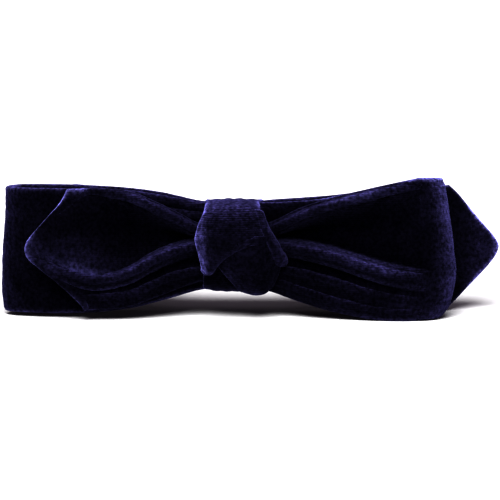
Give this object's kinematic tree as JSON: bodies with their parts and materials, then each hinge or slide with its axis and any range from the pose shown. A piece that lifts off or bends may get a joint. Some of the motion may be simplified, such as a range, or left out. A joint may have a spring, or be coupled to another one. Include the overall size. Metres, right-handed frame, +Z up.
{
  "type": "knotted headband",
  "caption": "Velvet hair band: a springy padded hoop carrying a folded bow with pointed tails, cinched at the crown by a knotted wrap.",
  "frame": {"origin": "centre of the overall box in plan, at the level of the table it stands on", "axes": "+Z up, +X to the wearer's left as seen facing the bow's front (the viewer's right), -Y out of the bow's front, +Y through the open side of the hoop"},
  "size_m": [0.195, 0.161, 0.0535],
  "materials": {
    "velvet": "short-pile velvet, matt with a violet-blue sheen on its folds",
    "lining": "ribbed ribbon",
    "band_plastic": "satin",
    "foam": "open foam",
    "interfacing": "non-woven",
    "thread": "spun thread"
  },
  "bodies": {
    "knot": {"left_loop": "velvet", "left_loop_stiffener": "interfacing", "right_loop": "velvet", "right_loop_stiffener": "interfacing", "bow_core": "velvet", "gather_thread": "thread", "knot_wrap": "velvet", "knot_tuck": "velvet", "knot_ear": "velvet", "knot_tacks": "thread", "crown_core": "band_plastic", "crown_pad": "foam", "crown_cover": "velvet", "crown_lining": "lining"},
    "left_tail": {"left_tail": "velvet", "left_tail_stiffener": "interfacing"},
    "right_tail": {"right_tail": "velvet", "right_tail_stiffener": "interfacing"},
    "left_arm": {"left_arm_core": "band_plastic", "left_arm_pad": "foam", "left_arm_cover": "velvet", "left_arm_lining": "lining", "left_tip_cap": "velvet"},
    "right_arm": {"right_arm_core": "band_plastic", "right_arm_pad": "foam", "right_arm_cover": "velvet", "right_arm_lining": "lining", "right_tip_cap": "velvet"}
  },
  "joints": [
    {"name": "left_arm_flex", "type": "hinge", "parent": "knot", "child": "left_arm", "pos_m": [-0.025, -0.0484, 0.024], "axis": [0, 0, 1], "range_deg": [-3, 9], "stiffness_Nm_per_rad": 1.2},
    {"name": "right_arm_flex", "type": "hinge", "parent": "knot", "child": "right_arm", "pos_m": [0.01, -0.0484, 0.024], "axis": [0, 0, -1], "range_deg": [-3, 9], "stiffness_Nm_per_rad": 1.2},
    {"name": "left_tail_bend", "type": "hinge", "parent": "knot", "child": "left_tail", "pos_m": [-0.0203, -0.06812, 0.026], "axis": [0, 0, 1], "range_deg": [0, 25], "stiffness_Nm_per_rad": 0.01},
    {"name": "right_tail_bend", "type": "hinge", "parent": "knot", "child": "right_tail", "pos_m": [0.0053, -0.05812, 0.026], "axis": [0, 0, 1], "range_deg": [0, 12], "stiffness_Nm_per_rad": 0.01}
  ]
}
